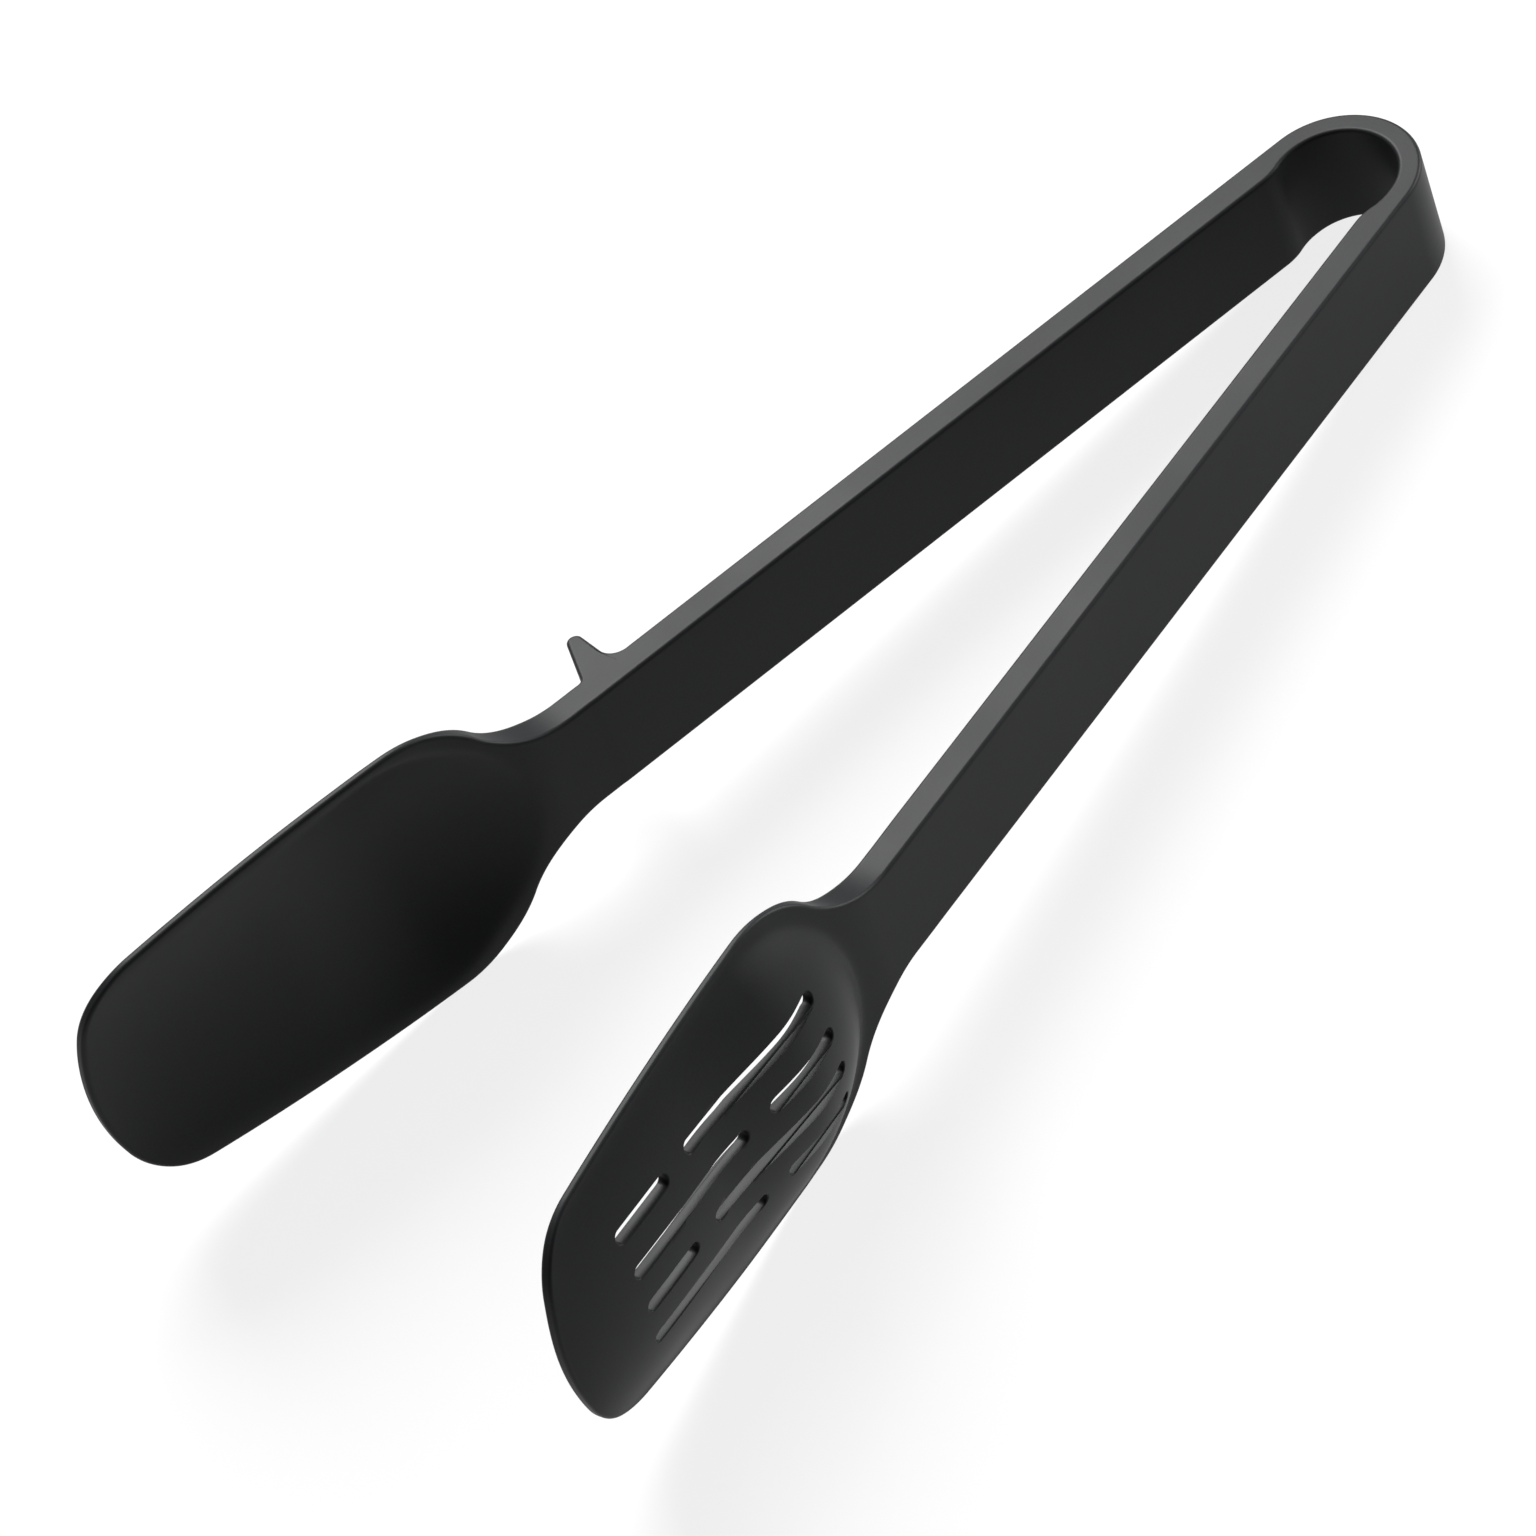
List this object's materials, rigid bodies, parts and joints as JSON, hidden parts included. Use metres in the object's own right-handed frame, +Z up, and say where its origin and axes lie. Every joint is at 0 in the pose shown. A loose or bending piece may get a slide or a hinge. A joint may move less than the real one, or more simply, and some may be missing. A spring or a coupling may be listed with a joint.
{
  "type": "kitchen tongs",
  "caption": "Moulded kitchen tongs: a springy bow joins flat arms that end in a solid scoop and a slotted scoop, with a short rest finger on one arm.",
  "frame": {"origin": "on the table, under the middle of the tongs' box as they lie open on their side: the bow's lower edge and the lower rims of both scoops touch z = 0", "axes": "+Y from the scoops towards the bow, +X across the open jaw from the solid arm to the slotted arm, +Z up from the table"},
  "size_m": [0.1216, 0.2966, 0.0604],
  "materials": {
    "black_nylon": "matte"
  },
  "bodies": {
    "bow": {"bow_crown": "black_nylon"},
    "solid_arm": {"solid_arm_bow_side": "black_nylon", "solid_arm_grip": "black_nylon", "solid_arm_neck": "black_nylon", "solid_scoop": "black_nylon", "rest_finger": "black_nylon"},
    "slotted_arm": {"slotted_arm_bow_side": "black_nylon", "slotted_arm_grip": "black_nylon", "slotted_arm_neck": "black_nylon", "slotted_scoop": "black_nylon"}
  },
  "joints": [
    {"name": "solid_arm_flex", "type": "hinge", "parent": "bow", "child": "solid_arm", "pos_m": [-0.01019, 0.13975, 0.0116], "axis": [0, 0.0824, 0.9966], "range_deg": [-3, 10.9], "stiffness_Nm_per_rad": 6, "deforming": ["solid_arm_bow_side"]},
    {"name": "slotted_arm_flex", "type": "hinge", "parent": "bow", "child": "slotted_arm", "pos_m": [0.01019, 0.13975, 0.0116], "axis": [0, -0.0824, -0.9966], "range_deg": [-3, 10.9], "stiffness_Nm_per_rad": 6, "deforming": ["slotted_arm_bow_side"]}
  ]
}
